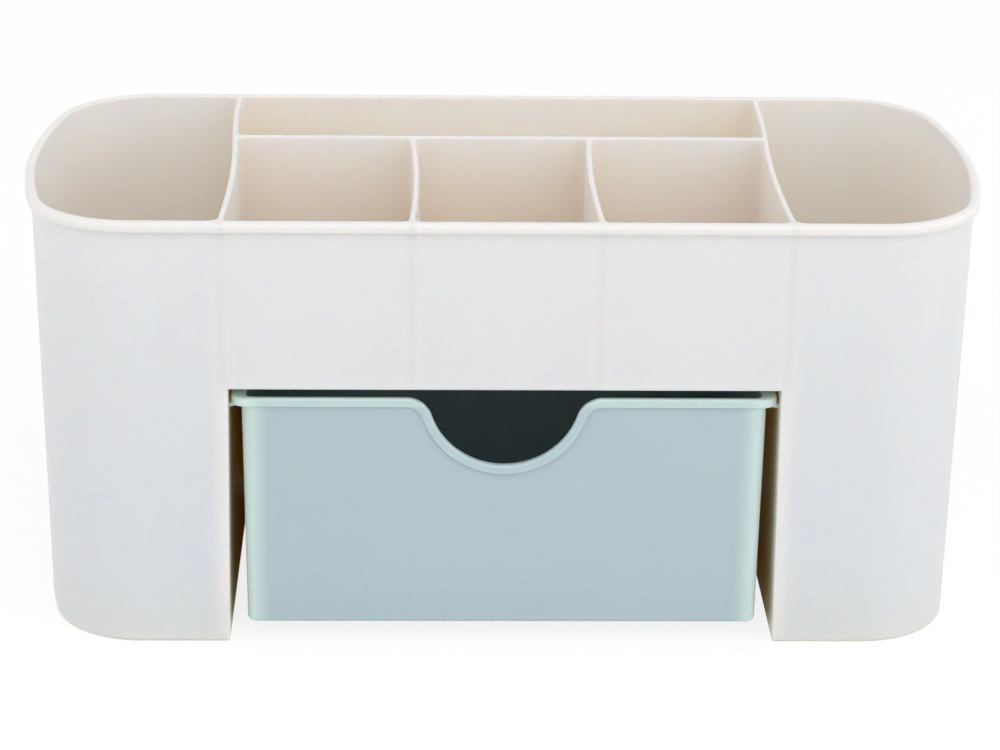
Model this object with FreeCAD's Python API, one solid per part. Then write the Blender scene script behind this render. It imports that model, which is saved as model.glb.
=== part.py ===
import FreeCAD, Part
import math
import os
from collections import namedtuple

# Desktop organizer for jewellery and cosmetics, two mouldings, in millimetres.
# X runs along the width, the drawer pulls out along -Y and +Z is up. The origin is the middle of
# the footprint at the level of the table.

# Overall size, measured over the rim
overall_width = 220.0
overall_depth = 103.0
overall_height = 102.0

# Plan shape of the rim: straight front and back, bowed ends, round corners
end_radius = 151.0
corner_radius = 24.3

# Walls of the body
body_wall = 1.0
body_draft_deg = 0.9
base_edge_radius = 0.8

# Rim that runs round the top of the body
rim_overhang = 1.25
rim_height = 2.2
rim_top_radius = 1.1
mouth_bevel = 0.4

# Drawer bay, open at the front and below
bay_width = 123.6
bay_height = 62.4
bay_draft_deg = 0.55
bay_edge_radius = 0.5

# Compartments
cup_floor = 1.6
shelf_floor = 1.5
cup_corner_radius = 2.5
pocket_corner_radius = 1.6
floor_bevel = 0.6

# Dividers, which flex a little towards the middle of the body in front of the cross wall
divider_thickness = 1.2
divider_bow = 1.0
outer_divider_x = 63.0
outer_divider_spread = 0.6
middle_divider_x = 21.0
cross_wall_y = 15.3

# Rails that carry the drawer
rail_thickness = 0.8
rail_setback = 4.3
rail_lead_in = 1.0

# Drawer
drawer_wall = 1.05
drawer_floor = 1.4
drawer_draft_deg = 0.7
drawer_corner_radius = 2.8
drawer_bottom_radius = 1.2
drawer_floor_bevel = 0.6
flange_width = 2.3
front_lip_depth = 0.55
lip_height = 1.9
lip_top_radius = 0.5
drawer_mouth_radius = 0.35

# Finger notch in the drawer's front
notch_radius = 17.2
notch_depth = 16.1
notch_shoulder_radius = 6.0

# Clearances between the drawer and the body
drawer_top_clearance = 2.7
drawer_side_clearance = 0.5
drawer_back_clearance = 1.0
drawer_front_setback = 1.5
drawer_ground_clearance = 4.0
rail_top_clearance = 0.2
rail_side_clearance = 1.0

# How far a cutting or joining solid runs past the face that it works on
past = 2.0

quarter = math.pi / 2

# An arc in plan. Its inside is the side of the solid: 1 where that is the side of the centre.
Bend = namedtuple("Bend", "centre radius start end inside")

# The mid-line of an upright curved divider, and on which side of its centre it lies
Curve = namedtuple("Curve", "centre radius toward")


def point(x, y, z):
    return FreeCAD.Vector(x, y, z)


def line(a, b):
    return Part.LineSegment(a, b).toShape()


def slope(angle_deg):
    return math.tan(math.radians(angle_deg))


def apart(a, b):
    return (a - b).Length > 1e-6


def rounded(corners):
    """Splits a profile, given as (inset, z, radius) corners, into straight and round strips.

    The profile starts from a level face, which lies inward of its first corner.
    """
    places = [point(inset, 0, z) for inset, z, radius in corners]
    level = places[0] + point(1, 0, 0)
    rounds = []
    for before, place, after, corner in zip([level] + places, places, places[1:], corners):
        back = (before - place).normalize()
        ahead = (after - place).normalize()
        between = (back + ahead).normalize()
        half = back.getAngle(ahead) / 2
        radius = corner[2]
        reach = radius / math.tan(half)
        middle = between * (radius / math.sin(half) - radius)
        rounds.append([place + back * reach, place + middle, place + ahead * reach])
    rounds.append(places[-1:] * 3)
    strips = []
    for bend, following in zip(rounds, rounds[1:]):
        if apart(bend[0], bend[2]):
            strips.append(bend)
        if apart(bend[2], following[0]):
            strips.append([bend[2], following[0]])
    return strips


def spot(bend, angle, place):
    """The place (inset, z) of a profile, taken to the given angle of a bend."""
    radius = bend.radius - bend.inside * place.x
    x, y = bend.centre
    return point(x + radius * math.cos(angle), y + radius * math.sin(angle), place.z)


def level_arc(bend, place):
    angles = [bend.start, (bend.start + bend.end) / 2, bend.end]
    return Part.Arc(*[spot(bend, angle, place) for angle in angles]).toShape()


def level_line(bend, following, place):
    return line(spot(bend, bend.end, place), spot(following, following.start, place))


def straight_after(bend, following):
    middle = point(0, 0, 0)
    return apart(spot(bend, bend.end, middle), spot(following, following.start, middle))


def level_face(bends, place):
    """Level face inside a loop of bends that are joined by straight lines."""
    edges = []
    for bend, following in zip(bends, bends[1:] + bends[:1]):
        edges.append(level_arc(bend, place))
        if straight_after(bend, following):
            edges.append(level_line(bend, following, place))
    return Part.Face(Part.Wire(edges))


def bent_face(bend, strip):
    """Face of one strip of the profile along a bend: ruled where it is upright."""
    if len(strip) == 2 and apart(strip[0] - strip[1], point(strip[0].x - strip[1].x, 0, 0)):
        return Part.makeRuledSurface(level_arc(bend, strip[0]), level_arc(bend, strip[1]))
    places = [spot(bend, bend.start, place) for place in strip]
    edge = line(*places) if len(places) == 2 else Part.Arc(*places).toShape()
    return edge.revolve(point(*bend.centre, 0), point(0, 0, 1), math.degrees(bend.end - bend.start))


def straight_face(bend, following, strip):
    """Face of one strip of the profile along the line between two bends."""
    places = [spot(bend, bend.end, place) for place in strip]
    edge = line(*places) if len(places) == 2 else Part.Arc(*places).toShape()
    return edge.extrude(spot(following, following.start, strip[0]) - places[0])


def swept(bends, corners):
    """Solid with level ends, whose side has the same profile all round a loop of bends."""
    strips = rounded(corners)
    faces = [level_face(bends, strips[0][0]), level_face(bends, strips[-1][-1])]
    for bend, following in zip(bends, bends[1:] + bends[:1]):
        faces += [bent_face(bend, strip) for strip in strips]
        if straight_after(bend, following):
            faces += [straight_face(bend, following, strip) for strip in strips]
    solid = Part.Solid(Part.Shell(faces))
    if solid.Volume < 0:
        solid.reverse()
    return solid


def direction(a, b):
    return math.atan2(b[1] - a[1], b[0] - a[0])


def near(angle, wanted):
    """The same angle, written within half a turn of wanted."""
    return wanted + (angle - wanted + 2 * quarter) % (4 * quarter) - 2 * quarter


# The body

shelf_top = bay_height + shelf_floor
inner_half_depth = overall_depth / 2 - rim_overhang - body_wall


def taper(z):
    """How far the body's drafted walls have moved in at height z, counted from the top."""
    return (overall_height - z) * slope(body_draft_deg)


def front_face(z):
    """Distance of the body's flat front and back outer faces from the middle at height z."""
    return overall_depth / 2 - rim_overhang - taper(z)


def end_bends(turn, inset):
    """Corner, end and corner of the right end, set in from the rim and turned about the origin."""
    corner_y = overall_depth / 2 - corner_radius
    end_x = overall_width / 2 - end_radius
    corner_x = end_x + math.sqrt((end_radius - corner_radius) ** 2 - corner_y ** 2)
    lean = math.atan2(corner_y, corner_x - end_x)
    sign = math.cos(turn)
    rounds = [
        ((corner_x, -corner_y), corner_radius, -quarter, -lean),
        ((end_x, 0), end_radius, -lean, lean),
        ((corner_x, corner_y), corner_radius, lean, quarter),
    ]
    return [
        Bend((sign * centre[0], sign * centre[1]), radius - inset, start + turn, end + turn, 1)
        for centre, radius, start, end in rounds
    ]


def outer_shell():
    """The body as a solid block: round base edge, drafted side and rounded rim."""
    rim_bottom = overall_height - rim_height
    corners = [
        (rim_overhang + taper(0), 0, base_edge_radius),
        (rim_overhang + taper(rim_bottom), rim_bottom, 0),
        (0, rim_bottom, 0),
        (0, overall_height, rim_top_radius),
        (rim_top_radius, overall_height, 0),
    ]
    return swept(end_bends(0, 0) + end_bends(2 * quarter, 0), corners)


def divider_front(x):
    """Mid-line of a divider from the front wall to the cross wall, bowed towards the middle."""
    side = math.copysign(1, x)
    half = (cross_wall_y + inner_half_depth) / 2
    radius = (half ** 2 + divider_bow ** 2) / (2 * divider_bow)
    centre = (x + side * (radius - divider_bow), cross_wall_y - half)
    return Curve(centre, radius, -side)


def divider_back(x):
    """Mid-line of an outer divider behind the cross wall, running on smoothly to the back wall."""
    side = math.copysign(1, x)
    pin = point(x, cross_wall_y, 0)
    along = (pin - point(*divider_front(x).centre, 0)).normalize()
    reach = point(side * outer_divider_spread, inner_half_depth - cross_wall_y, 0)
    radius = reach.dot(reach) / (2 * reach.dot(along))
    centre = pin + along * radius
    return Curve((centre.x, centre.y), radius, side)


def corner_bend(curve, side, wall_y, face, radius):
    """Round between a divider and a straight wall; face is -1 for the front wall, 1 for the back."""
    inside = curve.toward * side
    reach = curve.radius - inside * (divider_thickness / 2 + radius)
    y = wall_y - face * radius
    x = curve.centre[0] + curve.toward * math.sqrt(reach ** 2 - (y - curve.centre[1]) ** 2)
    outward = direction(curve.centre, (x, y)) if inside > 0 else direction((x, y), curve.centre)
    sideways = near(outward, quarter - side * quarter)
    straight = near(face * quarter, sideways)
    first, last = (straight, sideways) if face * side < 0 else (sideways, straight)
    return Bend((x, y), radius, first, last, 1)


def side_bend(curve, side, start, end):
    """Face of a divider for the compartment that has it on the given side, from start to end."""
    inside = curve.toward * side
    ahead = quarter - curve.toward * quarter
    first = near(direction(curve.centre, start), ahead)
    last = near(direction(curve.centre, end), ahead)
    return Bend(curve.centre, curve.radius - inside * divider_thickness / 2, first, last, inside)


def compartment(bends, floor):
    """Cutting solid for a compartment, whose loop of bends is given at the top of the body."""
    bevel_top = floor + floor_bevel
    bevel_bottom = overall_height - mouth_bevel
    corners = [
        (taper(floor) + floor_bevel, floor, 0),
        (taper(bevel_top), bevel_top, 0),
        (taper(bevel_bottom), bevel_bottom, 0),
        (-mouth_bevel, overall_height, 0),
        (-mouth_bevel, overall_height + past, 0),
    ]
    return swept(bends, corners)


def pocket(left, right, front_y, back_y):
    """Compartment over the drawer, between two dividers."""
    front_right = corner_bend(right, 1, front_y, -1, pocket_corner_radius)
    back_right = corner_bend(right, 1, back_y, 1, pocket_corner_radius)
    back_left = corner_bend(left, -1, back_y, 1, pocket_corner_radius)
    front_left = corner_bend(left, -1, front_y, -1, pocket_corner_radius)
    right_side = side_bend(right, 1, front_right.centre, back_right.centre)
    left_side = side_bend(left, -1, back_left.centre, front_left.centre)
    bends = [front_right, right_side, back_right, back_left, left_side, front_left]
    return compartment(bends, shelf_top)


def pockets():
    """The three front compartments and the long slot behind them."""
    before_cross = cross_wall_y - divider_thickness / 2
    behind_cross = cross_wall_y + divider_thickness / 2
    across = [-outer_divider_x, -middle_divider_x, middle_divider_x, outer_divider_x]
    tools = []
    for left, right in zip(across, across[1:]):
        left_front, right_front = divider_front(left), divider_front(right)
        tools.append(pocket(left_front, right_front, -inner_half_depth, before_cross))
    left_back, right_back = divider_back(-outer_divider_x), divider_back(outer_divider_x)
    tools.append(pocket(left_back, right_back, behind_cross, inner_half_depth))
    return tools


def cup():
    """Deep compartment at the right end."""
    front_curve = divider_front(outer_divider_x)
    back_curve = divider_back(outer_divider_x)
    pin = (outer_divider_x, cross_wall_y)
    back = corner_bend(back_curve, -1, inner_half_depth, 1, cup_corner_radius)
    front = corner_bend(front_curve, -1, -inner_half_depth, -1, cup_corner_radius)
    behind = side_bend(back_curve, -1, back.centre, pin)
    before = side_bend(front_curve, -1, pin, front.centre)
    bends = end_bends(0, rim_overhang + body_wall) + [back, behind, before, front]
    return compartment(bends, cup_floor)


def bay_half(z):
    """Half the width of the drawer bay at height z; it widens towards the table."""
    return bay_width / 2 + (bay_height - z) * slope(bay_draft_deg)


bay_back = front_face(0) - body_wall


def bay():
    """Cutting solid of the drawer bay, open to the front and below."""
    front = -overall_depth
    corners = [
        point(-bay_half(-past), front, -past),
        point(bay_half(-past), front, -past),
        point(bay_half(bay_height), front, bay_height),
        point(-bay_half(bay_height), front, bay_height),
    ]
    face = Part.Face(Part.makePolygon(corners + corners[:1]))
    return face.extrude(point(0, bay_back - front, 0))


# Sizes that the drawer takes from the bay

lip_top = bay_height - drawer_top_clearance
lip_bottom = lip_top - lip_height
rail_top = lip_bottom - rail_top_clearance
flange_half = bay_half(lip_bottom) - drawer_side_clearance
drawer_half = flange_half - flange_width
rail_inner = drawer_half + rail_side_clearance
lip_front = drawer_front_setback - front_face(lip_top)
drawer_front = lip_front + front_lip_depth
lip_back = bay_back - drawer_back_clearance
drawer_back = lip_back - front_lip_depth


def rail(side):
    """Thin rib on the bay's side wall, with a lead-in at its front end."""
    front = rail_setback - front_face(rail_top)
    outer = bay_half(rail_top - rail_thickness) + body_wall / 2
    back = bay_back + body_wall / 2
    corners = [
        point(side * (rail_inner + rail_lead_in), front, rail_top),
        point(side * outer, front, rail_top),
        point(side * outer, back, rail_top),
        point(side * rail_inner, back, rail_top),
        point(side * rail_inner, front + rail_lead_in, rail_top),
    ]
    face = Part.Face(Part.makePolygon(corners + corners[:1]))
    return face.extrude(point(0, 0, -rail_thickness))


def fillet_where(solid, radius, wanted):
    """Rounds the edges for which wanted(edge) is true."""
    edges = [edge for edge in solid.Edges if wanted(edge)]
    return solid.makeFillet(radius, edges)


def at_height(edge, z):
    box = edge.BoundBox
    return abs(box.ZMin - z) < 0.01 and abs(box.ZMax - z) < 0.01


def bay_mouth(edge):
    """True for the edges where the bay opens through the front wall."""
    box = edge.BoundBox
    in_front = box.YMax < -front_face(0) + base_edge_radius
    inward = max(abs(box.XMin), abs(box.XMax)) < bay_half(-past)
    return in_front and inward and box.ZMax < bay_height + 0.01


def organizer_body():
    body = outer_shell()
    right_cup = cup()
    left_cup = right_cup.mirror(point(0, 0, 0), point(1, 0, 0))
    for tool in pockets() + [left_cup, right_cup, bay()]:
        body = body.cut(tool)
    body = body.fuse([rail(-1), rail(1)]).removeSplitter()
    return fillet_where(body, bay_edge_radius, bay_mouth)


# The drawer


def rounded_rectangle(half_x, front, back, radius):
    """Loop of bends with its corners at the given sides."""
    corners = [(1, front, -1), (1, back, 0), (-1, back, 1), (-1, front, 2)]
    bends = []
    for side, y, turns in corners:
        centre_y = y + radius if y == front else y - radius
        start = turns * quarter
        bends.append(Bend((side * (half_x - radius), centre_y), radius, start, start + quarter, 1))
    return bends


def drawer_taper(z):
    """How far the drawer's drafted walls have moved in at height z, counted from under the lip."""
    return (lip_bottom - z) * slope(drawer_draft_deg)


def drawer_block():
    """The drawer as a solid block, with the flange round its top."""
    lip_middle = lip_bottom + lip_height / 2
    tray = swept(
        rounded_rectangle(drawer_half, drawer_front, drawer_back, drawer_corner_radius),
        [
            (drawer_taper(drawer_ground_clearance), drawer_ground_clearance, drawer_bottom_radius),
            (drawer_taper(lip_middle), lip_middle, 0),
        ],
    )
    flange_corner_radius = drawer_corner_radius + front_lip_depth
    flange = swept(
        rounded_rectangle(flange_half, lip_front, lip_back, flange_corner_radius),
        [(0, lip_bottom, 0), (0, lip_top, 0)],
    )
    return tray.fuse(flange)


def drawer_inside():
    """Cutting solid for the space in the drawer."""
    floor = drawer_ground_clearance + drawer_floor
    bevel_top = floor + drawer_floor_bevel
    above = lip_top + past
    return swept(
        rounded_rectangle(drawer_half, drawer_front, drawer_back, drawer_corner_radius),
        [
            (drawer_wall + drawer_taper(floor) + drawer_floor_bevel, floor, 0),
            (drawer_wall + drawer_taper(bevel_top), bevel_top, 0),
            (drawer_wall + drawer_taper(above), above, 0),
        ],
    )


def notch_face(below, top, y):
    """Flat upright face between the height top and a curve that runs below the notch's edge."""
    scoop_z = lip_top - notch_depth + notch_radius
    shoulder_z = lip_top - notch_shoulder_radius
    rise = scoop_z - shoulder_z
    shoulder_x = math.sqrt((notch_radius + notch_shoulder_radius) ** 2 - rise ** 2)
    lean = math.atan2(rise, shoulder_x)
    shoulder = notch_shoulder_radius - below
    rounds = [
        (-shoulder_x, shoulder_z, shoulder, quarter, lean),
        (0, scoop_z, notch_radius + below, lean + 2 * quarter, 4 * quarter - lean),
        (shoulder_x, shoulder_z, shoulder, 2 * quarter - lean, quarter),
    ]
    edges = []
    for x, z, radius, start, end in rounds:
        angles = [start, (start + end) / 2, end]
        places = [point(x + radius * math.cos(angle), y, z + radius * math.sin(angle)) for angle in angles]
        edges.append(Part.Arc(*places).toShape())
    low = lip_top - below
    corners = [
        point(shoulder_x, y, low),
        point(shoulder_x, y, top),
        point(-shoulder_x, y, top),
        point(-shoulder_x, y, low),
    ]
    edges += [line(a, b) for a, b in zip(corners, corners[1:])]
    return Part.Face(Part.Wire(edges))


def back_lip_edge(edge):
    """True for the outer top edge of the flange at the drawer's back."""
    return at_height(edge, lip_top) and edge.BoundBox.YMin > drawer_back


def back_mouth_edge(edge):
    """True for the inner top edge of the drawer's back wall."""
    box = edge.BoundBox
    return at_height(edge, lip_top) and drawer_back - 2 * drawer_wall < box.YMin and box.YMax < drawer_back


def drawer():
    """The drawer; its top edges are rounded all the way along, down round the finger notch."""
    notch_depth_y = front_lip_depth + drawer_wall
    notch_lip = notch_face(lip_height, lip_top, lip_front).extrude(point(0, notch_depth_y, 0))
    solid = drawer_block().fuse(notch_lip).cut(drawer_inside())
    notch = notch_face(0, lip_top + past, lip_front - past)
    notch = notch.extrude(point(0, notch_depth_y + 2 * past, 0))
    solid = solid.cut(notch).removeSplitter()
    solid = fillet_where(solid, lip_top_radius, back_lip_edge)
    return fillet_where(solid, drawer_mouth_radius, back_mouth_edge)


def main():
    os.makedirs("parts", exist_ok=True)
    organizer_body().exportStep("parts/organizer_body.step")
    drawer().exportStep("parts/drawer.step")


main()
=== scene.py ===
import bpy
import math
from mathutils import Matrix, Vector

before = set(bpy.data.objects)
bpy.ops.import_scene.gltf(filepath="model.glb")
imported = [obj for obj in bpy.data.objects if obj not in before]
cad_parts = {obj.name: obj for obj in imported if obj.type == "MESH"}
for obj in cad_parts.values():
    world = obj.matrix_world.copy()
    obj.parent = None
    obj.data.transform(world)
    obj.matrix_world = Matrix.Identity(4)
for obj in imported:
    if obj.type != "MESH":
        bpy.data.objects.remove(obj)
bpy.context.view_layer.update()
scene = bpy.context.scene

# Desktop organizer in white and mint plastic, in metres, in the frame of the CAD part: X runs along
# the width, the drawer pulls out along -Y and +Z is up. Masks use the same places, and a piece's
# mask goes with it when it moves.

# Camera, at the photograph's viewing angle
camera_place = Vector((-0.0196880, -0.7134110, 0.3201755))
camera_yaw = 0.02781
camera_pitch = -0.36534
camera_roll = 0.01333
camera_lens = 114.984
camera_sensor = 36.0

# Colours, linear
white = (1.0, 1.0, 1.0)
body_open = (0.895, 0.857, 0.85)
# Painted shade: body colours for hollows and crevices, where walls shut out the light
body_hollow_painted_shade = (0.875, 0.79, 0.715)
body_crevice_painted_shade = (0.92, 0.72, 0.38)
# Painted highlight: a paler colour along the body's edges
body_edge_highlight = (0.91, 0.885, 0.875)
drawer_open = (0.55, 0.665, 0.70)
# Painted shade: drawer colours for hollows and crevices, where walls shut out the light
drawer_hollow_painted_shade = (0.50, 0.61, 0.645)
drawer_crevice_painted_shade = (0.46, 0.72, 0.78)
# Painted light: a paler colour for the drawer's front corners and lip
drawer_painted_glow = (0.70, 0.98, 0.84)
floor_colour = (0.86, 0.86, 0.86)
bay_floor_colour = (0.85, 0.60, 0.28)

# How open a face is, from 0 to 1, where it takes a crevice's or a hollow's painted shade, or the
# open face's colour
crevice_open = 0.07
hollow_open = 0.25
fully_open = 0.75

# How far a face looks about for walls that shut out the light, which places the painted shade, and
# for its own edges, which get a painted highlight
hollow_reach = 0.045
edge_reach = 0.0009
edge_gain = 5.0

# How far light travels inside the plastic, for red, green and blue
body_scatter = (0.0035, 0.0024, 0.0014)
drawer_scatter = (0.0014, 0.0024, 0.0018)

# Moulded surface: slow waves, fine grain, and clouds in the colour and the gloss
plastic_ior = 1.49
body_roughness = 0.42
drawer_roughness = 0.40
roughness_range = 0.08
bump_strength = 0.35
bump_detail = 2.0
wave_size = 0.018
wave_depth = 0.0003
grain_size = 0.0004
grain_depth = 0.00004
cloud_size = 0.05
cloud_detail = 3.0
cloud_shade = 0.975

# Painted shade: faint darker lines on the front wall, where dividers join it inside
rib_places = (0.021, 0.063)
rib_half_width = 0.0020
rib_painted_shade = (0.93, 0.955, 0.97)
rib_bottom = 0.060
rib_full = 0.066
front_wall_start = 0.0493
front_wall_full = 0.0496

# Painted light: where light that comes in from two sides would make the drawer's front corners and
# its lip paler, a paler colour is painted
corner_start = 0.0525
corner_full = 0.0586
corner_behind = 0.0425
corner_in_front = 0.0470
lip_bottom = 0.0578
lip_top_start = 0.0590
lip_top_full = 0.0596
lip_front_share = 0.38

# Floor: its white glow, the share of its own shade that shows through it, and the place inside
# the drawer bay where it is warmer
floor_reach = 6.0
floor_drop = 0.00005
floor_roughness = 0.9
floor_glow = 1.06
shadow_share = 0.2
bay_half_width = 0.0632
bay_side_fade = 0.001
bay_floor_start = -0.042
bay_floor_full = -0.030
bay_floor_end = 0.042

# Light all round, and lamps with their places, sizes and watts
surround = 0.66
lamp_target = (0, 0, 0.05)
lamps = {
    "front": ((0.35, -1.3, 1.3), (2.4, 2.2), 10.6),
    "right": ((1.6, -0.6, 0.7), (1.0, 1.0), 5),
    "left": ((-1.6, -0.6, 0.7), (1.0, 1.0), 3.5),
}


def opaque(colour):
    return (*colour, 1.0)


def scaled(colour, factor):
    return tuple(factor * part for part in colour)


class Nodes:
    """A material's or the world's node tree, with short ways to add to it."""

    def __init__(self, tree):
        self.tree = tree

    def add(self, kind, **settings):
        node = self.tree.nodes.new(kind)
        for key, value in settings.items():
            setattr(node, key, value)
        return node

    def link(self, output, socket):
        self.tree.links.new(output, socket)

    def math(self, operation, *values):
        """Works on numbers and other nodes' outputs."""
        node = self.add("ShaderNodeMath", operation=operation)
        for socket, value in zip(node.inputs, values):
            if isinstance(value, (int, float)):
                socket.default_value = value
            else:
                self.link(value, socket)
        return node.outputs[0]

    def rise(self, value, start, end):
        """0 up to start and 1 from end, with a smooth rise between them."""
        node = self.add("ShaderNodeMapRange", interpolation_type="SMOOTHSTEP")
        self.link(value, node.inputs["Value"])
        node.inputs["From Min"].default_value = start
        node.inputs["From Max"].default_value = end
        return node.outputs["Result"]

    def place(self):
        return self.add("ShaderNodeTexCoord").outputs["Object"]

    def parts(self, place):
        node = self.add("ShaderNodeSeparateXYZ")
        self.link(place, node.inputs[0])
        return node.outputs["X"], node.outputs["Y"], node.outputs["Z"]

    def noise(self, place, size, detail):
        node = self.add("ShaderNodeTexNoise")
        node.inputs["Scale"].default_value = 1.0 / size
        node.inputs["Detail"].default_value = detail
        self.link(place, node.inputs["Vector"])
        return node.outputs["Fac"]

    def mix(self, factor, a, b, blend="MIX"):
        """Mixes two colours, each a triple or another node's output."""
        node = self.add("ShaderNodeMix", data_type="RGBA", blend_type=blend)
        self.link(factor, node.inputs["Factor"])
        for colour, socket in ((a, node.inputs["A"]), (b, node.inputs["B"])):
            if isinstance(colour, tuple):
                socket.default_value = opaque(colour)
            else:
                self.link(colour, socket)
        return node.outputs["Result"]

    def ramp(self, factor, stops):
        """Runs through colours, given as (factor, colour) pairs."""
        node = self.add("ShaderNodeValToRGB")
        elements = node.color_ramp.elements
        for element, (position, colour) in zip(elements, (stops[0], stops[-1])):
            element.position = position
            element.color = opaque(colour)
        for position, colour in stops[1:-1]:
            elements.new(position).color = opaque(colour)
        self.link(factor, node.inputs["Fac"])
        return node.outputs["Color"]

    def bump(self, height, distance, normal=None):
        node = self.add("ShaderNodeBump")
        node.inputs["Distance"].default_value = distance
        node.inputs["Strength"].default_value = bump_strength
        self.link(height, node.inputs["Height"])
        if normal is not None:
            self.link(normal, node.inputs["Normal"])
        return node.outputs["Normal"]


def new_material(name):
    material = bpy.data.materials.new(name)
    material.use_nodes = True
    return material, Nodes(material.node_tree), material.node_tree.nodes["Principled BSDF"]


def openness(nodes):
    """1 on open faces, falling towards 0 where walls stand close around; it places the painted
    shade.
    """
    node = nodes.add("ShaderNodeAmbientOcclusion", samples=8)
    node.inputs["Distance"].default_value = hollow_reach
    return node.outputs["AO"]


def edge_highlight_share(nodes):
    """1 along the edges, falling to 0 a little way in from them: where the painted edge highlight
    goes.
    """
    bevel = nodes.add("ShaderNodeBevel", samples=6)
    bevel.inputs["Radius"].default_value = edge_reach
    likeness = nodes.add("ShaderNodeVectorMath", operation="DOT_PRODUCT")
    nodes.link(bevel.outputs["Normal"], likeness.inputs[0])
    nodes.link(nodes.add("ShaderNodeNewGeometry").outputs["Normal"], likeness.inputs[1])
    lean = nodes.math("SUBTRACT", 1.0, likeness.outputs["Value"])
    return nodes.math("MINIMUM", nodes.math("MULTIPLY", lean, edge_gain), 1.0)


def clouds(nodes, place):
    return nodes.noise(place, cloud_size, cloud_detail)


def clouded_colour_with_painted_shade(nodes, place, crevice_shade, hollow_shade, open_colour):
    """A slightly clouded colour, with painted shade that changes it where walls stand close around.
    """
    stops = ((crevice_open, crevice_shade), (hollow_open, hollow_shade), (fully_open, open_colour))
    colour = nodes.ramp(openness(nodes), stops)
    return nodes.mix(clouds(nodes, place), colour, scaled(white, cloud_shade), "MULTIPLY")


def rib_shade_lines(nodes, place):
    """1 on the outer face of the front wall where a divider meets it inside: where a painted shade
    line goes.
    """
    x, y, z = nodes.parts(place)
    lines = 0.0
    for rib in rib_places:
        away = nodes.math("ABSOLUTE", nodes.math("SUBTRACT", nodes.math("ABSOLUTE", x), rib))
        line = nodes.math("SUBTRACT", 1.0, nodes.rise(away, 0.0, rib_half_width))
        lines = nodes.math("MAXIMUM", lines, line)
    forward = nodes.math("MULTIPLY", y, -1.0)
    outside = nodes.rise(forward, front_wall_start, front_wall_full)
    above = nodes.rise(z, rib_bottom, rib_full)
    return nodes.math("MULTIPLY", lines, nodes.math("MULTIPLY", outside, above))


def painted_glow_share(nodes, place):
    """Painted light: 1 at the drawer's front corners and on top of its lip, less on the lip's
    front.
    """
    x, y, z = nodes.parts(place)
    forward = nodes.math("MULTIPLY", y, -1.0)
    in_front = nodes.rise(forward, corner_behind, corner_in_front)
    outward = nodes.rise(nodes.math("ABSOLUTE", x), corner_start, corner_full)
    corner = nodes.math("MULTIPLY", in_front, outward)
    lip_front = nodes.math("MULTIPLY", nodes.math("GREATER_THAN", z, lip_bottom), lip_front_share)
    lip = nodes.math("MAXIMUM", lip_front, nodes.rise(z, lip_top_start, lip_top_full))
    return nodes.math("MAXIMUM", corner, lip)


def body_colour(nodes, place):
    # Painted shade in hollows and crevices, under random clouds in the colour
    colour = clouded_colour_with_painted_shade(nodes, place, body_crevice_painted_shade, body_hollow_painted_shade, body_open)
    # Painted shade lines on the front wall over the dividers
    ribbed = nodes.mix(rib_shade_lines(nodes, place), colour, rib_painted_shade, "MULTIPLY")
    # Painted highlight along the edges
    return nodes.mix(edge_highlight_share(nodes), ribbed, body_edge_highlight)


def drawer_colour(nodes, place):
    # Painted shade in the drawer's hollows and crevices, under random clouds in the colour
    colour = clouded_colour_with_painted_shade(nodes, place, drawer_crevice_painted_shade, drawer_hollow_painted_shade, drawer_open)
    # Painted light on the drawer's front corners and lip
    return nodes.mix(painted_glow_share(nodes, place), colour, drawer_painted_glow)


def moulded_plastic(name, colour, scatter, roughness):
    """Satin polypropylene: light passes a little way in, under a finely grained skin.

    The colour is a function that is given the nodes and the place, and returns an output.
    """
    material, nodes, shader = new_material(name)
    place = nodes.place()
    nodes.link(colour(nodes, place), shader.inputs["Base Color"])
    waves = nodes.bump(nodes.noise(place, wave_size, bump_detail), wave_depth)
    grain = nodes.bump(nodes.noise(place, grain_size, bump_detail), grain_depth, waves)
    nodes.link(grain, shader.inputs["Normal"])
    smoothest = roughness - roughness_range / 2
    gloss = nodes.math("MULTIPLY_ADD", clouds(nodes, place), roughness_range, smoothest)
    nodes.link(gloss, shader.inputs["Roughness"])
    shader.inputs["IOR"].default_value = plastic_ior
    reach = max(scatter)
    shader.inputs["Subsurface Weight"].default_value = 1.0
    shader.inputs["Subsurface Scale"].default_value = reach
    shader.inputs["Subsurface Radius"].default_value = scaled(scatter, 1.0 / reach)
    return material


def dress(node, material):
    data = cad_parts[node].data
    data.materials.clear()
    data.materials.append(material)


def ray_kinds(nodes):
    """1 for rays from the camera, and 1 for those that a gloss or a clear thing sends on."""
    path = nodes.add("ShaderNodeLightPath").outputs
    sent_on = nodes.math("MAXIMUM", path["Is Glossy Ray"], path["Is Transmission Ray"])
    return path["Is Camera Ray"], sent_on


def bay_share(nodes):
    """1 on the floor inside the drawer bay."""
    x, y, z = nodes.parts(nodes.place())
    side_end = bay_half_width + bay_side_fade
    beside = nodes.rise(nodes.math("ABSOLUTE", x), bay_half_width, side_end)
    behind_mouth = nodes.rise(y, bay_floor_start, bay_floor_full)
    inside = nodes.math("MULTIPLY", nodes.math("SUBTRACT", 1.0, beside), behind_mouth)
    return nodes.math("MULTIPLY", inside, nodes.math("LESS_THAN", y, bay_floor_end))


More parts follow.
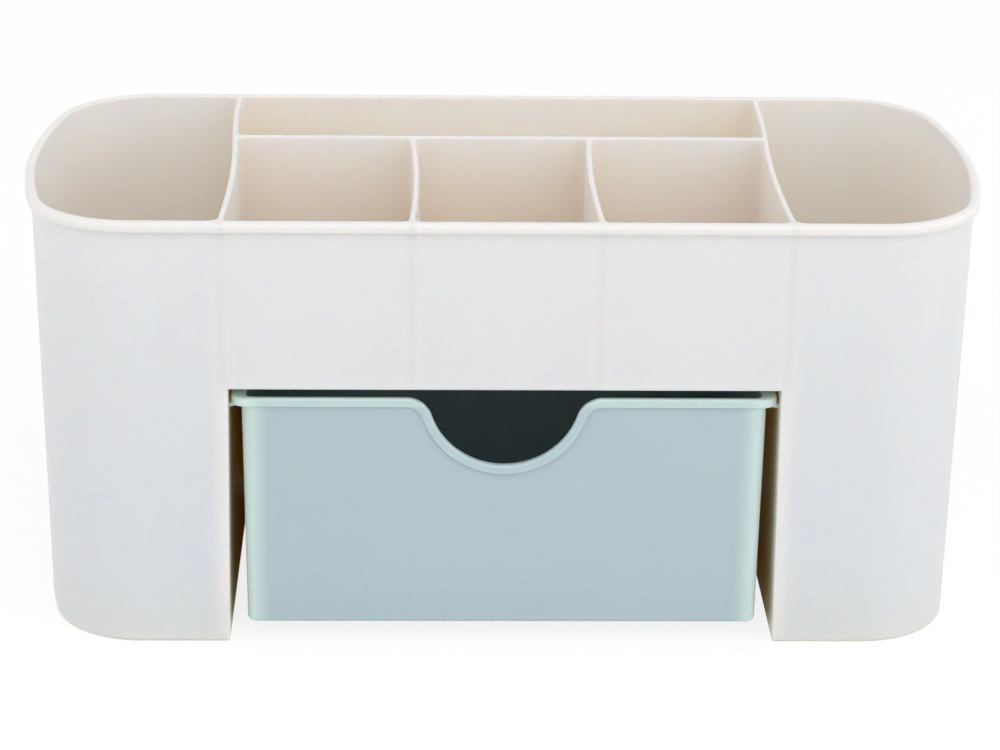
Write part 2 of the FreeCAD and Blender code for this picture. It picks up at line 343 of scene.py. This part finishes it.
def floor_material():
    """Pale to the object, near white to the camera, with the object's shadow.

    Inside the bay it sends warm light on to the walls, and only the camera sees it white.
    """
    material, nodes, shader = new_material("studio_floor")
    in_bay = bay_share(nodes)
    nodes.link(nodes.mix(in_bay, floor_colour, bay_floor_colour), shader.inputs["Base Color"])
    shader.inputs["Roughness"].default_value = floor_roughness
    glow = nodes.add("ShaderNodeEmission")
    glow.inputs["Color"].default_value = opaque(white)
    glow.inputs["Strength"].default_value = floor_glow
    from_camera, sent_on = ray_kinds(nodes)
    sent_on = nodes.math("MULTIPLY", sent_on, nodes.math("SUBTRACT", 1.0, in_bay))
    seen = nodes.math("MAXIMUM", from_camera, sent_on)
    blend = nodes.add("ShaderNodeMixShader")
    nodes.link(nodes.math("MULTIPLY", seen, 1.0 - shadow_share), blend.inputs["Fac"])
    nodes.link(shader.outputs["BSDF"], blend.inputs[1])
    nodes.link(glow.outputs["Emission"], blend.inputs[2])
    surface = nodes.tree.nodes["Material Output"].inputs["Surface"]
    nodes.link(blend.outputs["Shader"], surface)
    return material


def studio_floor():
    mesh = bpy.data.meshes.new("studio_floor")
    sides = ((-1, -1), (1, -1), (1, 1), (-1, 1))
    corners = [(floor_reach * x, floor_reach * y, 0) for x, y in sides]
    mesh.from_pydata(corners, [], [(0, 1, 2, 3)])
    floor = bpy.data.objects.new("studio_floor", mesh)
    scene.collection.objects.link(floor)
    floor.location.z = -floor_drop
    floor.data.materials.append(floor_material())


def light_all_round():
    """Soft light from the world, which is white where it is seen directly."""
    world = bpy.data.worlds.new("studio")
    scene.world = world
    world.use_nodes = True
    nodes = Nodes(world.node_tree)
    background = world.node_tree.nodes["Background"]
    background.inputs["Color"].default_value = opaque(white)
    seen = nodes.math("MAXIMUM", *ray_kinds(nodes))
    strength = nodes.math("MULTIPLY_ADD", seen, 1.0 - surround, surround)
    nodes.link(strength, background.inputs["Strength"])


def area_light(name, place, size, watts):
    data = bpy.data.lights.new(name, "AREA")
    data.shape = "RECTANGLE"
    data.size, data.size_y = size
    data.energy = watts
    lamp = bpy.data.objects.new(name, data)
    lamp.location = place
    direction = Vector(lamp_target) - Vector(place)
    lamp.rotation_euler = direction.to_track_quat("-Z", "Y").to_euler()
    scene.collection.objects.link(lamp)


def photo_camera():
    level = math.cos(camera_pitch)
    sideways = math.sin(camera_yaw) * level
    onward = math.cos(camera_yaw) * level
    forward = Vector((sideways, onward, math.sin(camera_pitch)))
    level_right = forward.cross(Vector((0, 0, 1))).normalized()
    level_up = level_right.cross(forward)
    right = math.cos(camera_roll) * level_right + math.sin(camera_roll) * level_up
    up = math.cos(camera_roll) * level_up - math.sin(camera_roll) * level_right
    data = bpy.data.cameras.new("camera")
    data.lens = camera_lens
    data.sensor_width = camera_sensor
    camera = bpy.data.objects.new("camera", data)
    turn = Matrix((right, up, -forward)).transposed()
    camera.matrix_world = Matrix.Translation(camera_place) @ turn.to_4x4()
    scene.collection.objects.link(camera)
    return camera


dress("organizer_body", moulded_plastic("white_plastic", body_colour, body_scatter, body_roughness))
dress("drawer", moulded_plastic("mint_plastic", drawer_colour, drawer_scatter, drawer_roughness))

studio_floor()
light_all_round()
for name, (place, size, watts) in lamps.items():
    area_light(name, place, size, watts)

scene.camera = photo_camera()
scene.view_settings.view_transform = "Standard"
